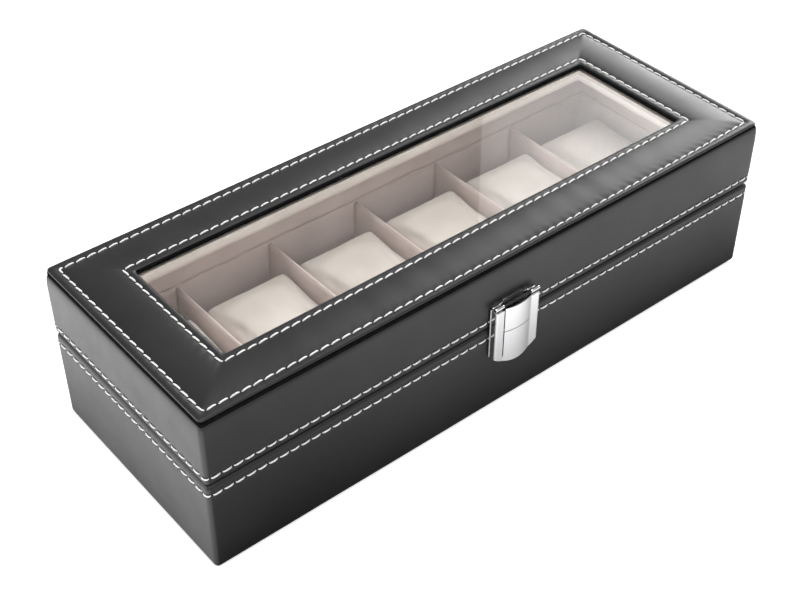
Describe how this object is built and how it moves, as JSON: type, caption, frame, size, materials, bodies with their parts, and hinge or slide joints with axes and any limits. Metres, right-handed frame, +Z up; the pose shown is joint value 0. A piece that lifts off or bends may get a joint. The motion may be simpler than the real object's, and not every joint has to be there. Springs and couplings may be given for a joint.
{
  "type": "watch box",
  "caption": "Leather-covered box with a windowed hinged lid, a flap latch and lift-out velvet pillows in divided slots.",
  "frame": {"origin": "middle of the underside, on the surface that the box stands on", "axes": "+X along the box to its right end, +Y to the rear where the hinges are, +Z up"},
  "size_m": [0.3004, 0.1207, 0.08],
  "materials": {
    "board": "raw fibreboard",
    "black_leather": "smooth black PU leather, soft sheen",
    "white_thread": "off-white sewing thread",
    "cream_velvet": "cream velvet, short pile",
    "beige_velvet": "beige velvet, short pile",
    "black_felt": "black felt",
    "grey_board": "grey bookbinding board",
    "foam": "open-cell foam sheet",
    "clear_glass": "clear float glass",
    "chrome": "bright chrome plating",
    "steel": "nickel-plated steel"
  },
  "bodies": {
    "base": {"base_carcass": "board", "base_leather": "black_leather", "base_stitching": "white_thread", "bottom_cover": "black_felt", "base_lining": "beige_velvet", "divider_1": "beige_velvet", "divider_2": "beige_velvet", "divider_3": "beige_velvet", "divider_4": "beige_velvet", "divider_5": "beige_velvet", "left_hinge_base_leaf": "steel", "right_hinge_base_leaf": "steel", "left_hinge_pin": "steel", "right_hinge_pin": "steel", "hinge_base_screws": "steel", "latch_catch": "chrome", "latch_catch_rivets": "chrome"},
    "lid": {"lid_carcass": "board", "lid_skirt_leather": "black_leather", "lid_skirt_stitching": "white_thread", "lid_top_board": "grey_board", "lid_top_foam": "foam", "lid_top_leather": "black_leather", "lid_outer_stitching": "white_thread", "lid_inner_stitching": "white_thread", "window_glass": "clear_glass", "window_retainer": "cream_velvet", "lid_lining": "beige_velvet", "left_hinge_lid_leaf": "steel", "right_hinge_lid_leaf": "steel", "hinge_lid_screws": "steel", "latch_plate": "chrome", "latch_plate_rivets": "chrome", "latch_pin": "steel"},
    "latch_flap": {"latch_flap": "chrome", "latch_tongue": "steel"},
    "pillow_1": {"pillow_1": "cream_velvet"},
    "pillow_2": {"pillow_2": "cream_velvet"},
    "pillow_3": {"pillow_3": "cream_velvet"},
    "pillow_4": {"pillow_4": "cream_velvet"},
    "pillow_5": {"pillow_5": "cream_velvet"},
    "pillow_6": {"pillow_6": "cream_velvet"}
  },
  "joints": [
    {"name": "lid_hinge", "type": "hinge", "parent": "base", "child": "lid", "pos_m": [0, 0.058, 0.04585], "axis": [-1, 0, 0], "range_deg": [0, 100]},
    {"name": "latch_hinge", "type": "hinge", "parent": "lid", "child": "latch_flap", "pos_m": [0, -0.0589, 0.0579], "axis": [-1, 0, 0], "range_deg": [0, 110]},
    {"name": "pillow_1_lift", "type": "slide", "parent": "base", "child": "pillow_1", "axis": [0, 0, 1], "range_m": [0, 0.016]},
    {"name": "pillow_2_lift", "type": "slide", "parent": "base", "child": "pillow_2", "axis": [0, 0, 1], "range_m": [0, 0.016]},
    {"name": "pillow_3_lift", "type": "slide", "parent": "base", "child": "pillow_3", "axis": [0, 0, 1], "range_m": [0, 0.016]},
    {"name": "pillow_4_lift", "type": "slide", "parent": "base", "child": "pillow_4", "axis": [0, 0, 1], "range_m": [0, 0.016]},
    {"name": "pillow_5_lift", "type": "slide", "parent": "base", "child": "pillow_5", "axis": [0, 0, 1], "range_m": [0, 0.016]},
    {"name": "pillow_6_lift", "type": "slide", "parent": "base", "child": "pillow_6", "axis": [0, 0, 1], "range_m": [0, 0.016]}
  ]
}
